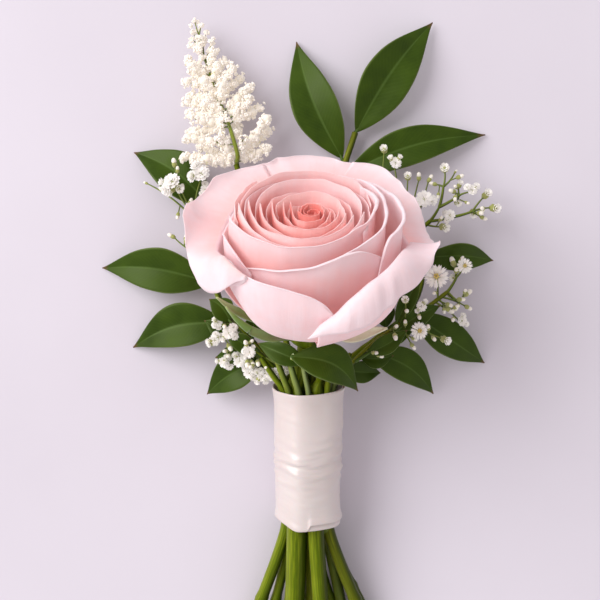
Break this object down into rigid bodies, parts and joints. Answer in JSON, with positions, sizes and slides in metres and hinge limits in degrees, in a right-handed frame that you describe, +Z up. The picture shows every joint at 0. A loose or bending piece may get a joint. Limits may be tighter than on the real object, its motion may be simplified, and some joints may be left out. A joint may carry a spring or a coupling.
{
  "type": "boutonniere",
  "caption": "Lapel flower: an open pink garden rose backed by ruscus leaves, an astilbe plume and baby's breath, its stems bound in satin ribbon.",
  "frame": {"origin": "on the surface it lies on, under the middle of its bounding box", "axes": "+Y from the cut stems to the flowers, +Z up, away from the surface it lies on"},
  "size_m": [0.102, 0.1654, 0.0628],
  "materials": {
    "rose_petal": "soft matte petal, pale pink",
    "rose_petal_inner": "soft matte petal, deeper pink",
    "ruscus_leaf": "glossy dark green leaf",
    "stem": "satin green stem",
    "sepal": "matte pale green",
    "gypsophila": "matte white blossom",
    "astilbe": "matte creamy white florets",
    "ribbon": "ivory satin",
    "stem_tape": "matte crepe tape"
  },
  "bodies": {
    "root": {"stem_tape": "stem_tape", "satin_ribbon": "ribbon", "rose_stem_and_hip": "stem", "rose_heart": "rose_petal_inner", "inner_petal_1": "rose_petal_inner", "inner_petal_2": "rose_petal_inner", "inner_petal_3": "rose_petal_inner", "inner_petal_4": "rose_petal_inner", "inner_petal_5": "rose_petal_inner", "cup_petal_1": "rose_petal_inner", "cup_petal_2": "rose_petal_inner", "cup_petal_3": "rose_petal_inner", "cup_petal_4": "rose_petal_inner", "cup_petal_5": "rose_petal_inner", "bowl_petal_1": "rose_petal", "bowl_petal_2": "rose_petal", "bowl_petal_3": "rose_petal", "bowl_petal_4": "rose_petal", "shoulder_petal_1": "rose_petal", "shoulder_petal_2": "rose_petal", "shoulder_petal_3": "rose_petal", "skirt_petal_1": "rose_petal", "skirt_petal_2": "rose_petal", "skirt_petal_3": "rose_petal", "outer_petal_front_left": "rose_petal", "outer_petal_front_right": "rose_petal", "outer_petal_right": "rose_petal", "outer_petal_back": "rose_petal", "outer_petal_left": "rose_petal", "sepal_1": "sepal", "sepal_2": "sepal", "sepal_3": "sepal", "sepal_4": "sepal", "sepal_5": "sepal", "ruscus_top_stem": "stem", "ruscus_left_stem": "stem", "ruscus_front_stem": "stem", "ruscus_right_stem": "stem", "ruscus_leaf_top_left": "ruscus_leaf", "ruscus_leaf_top": "ruscus_leaf", "ruscus_leaf_top_right": "ruscus_leaf", "ruscus_leaf_upper_left": "ruscus_leaf", "ruscus_leaf_left": "ruscus_leaf", "ruscus_leaf_lower_left": "ruscus_leaf", "ruscus_leaf_bottom_left": "ruscus_leaf", "ruscus_leaf_bottom_front": "ruscus_leaf", "ruscus_leaf_bottom_inner": "ruscus_leaf", "ruscus_leaf_bottom_back": "ruscus_leaf", "ruscus_leaf_bottom_right": "ruscus_leaf", "ruscus_leaf_right": "ruscus_leaf", "ruscus_leaf_upper_right": "ruscus_leaf", "astilbe_plume": "astilbe", "gypsophila_left_sprig": "gypsophila", "gypsophila_top_right_sprig": "gypsophila", "gypsophila_right_sprig": "gypsophila"}
  },
  "joints": []
}
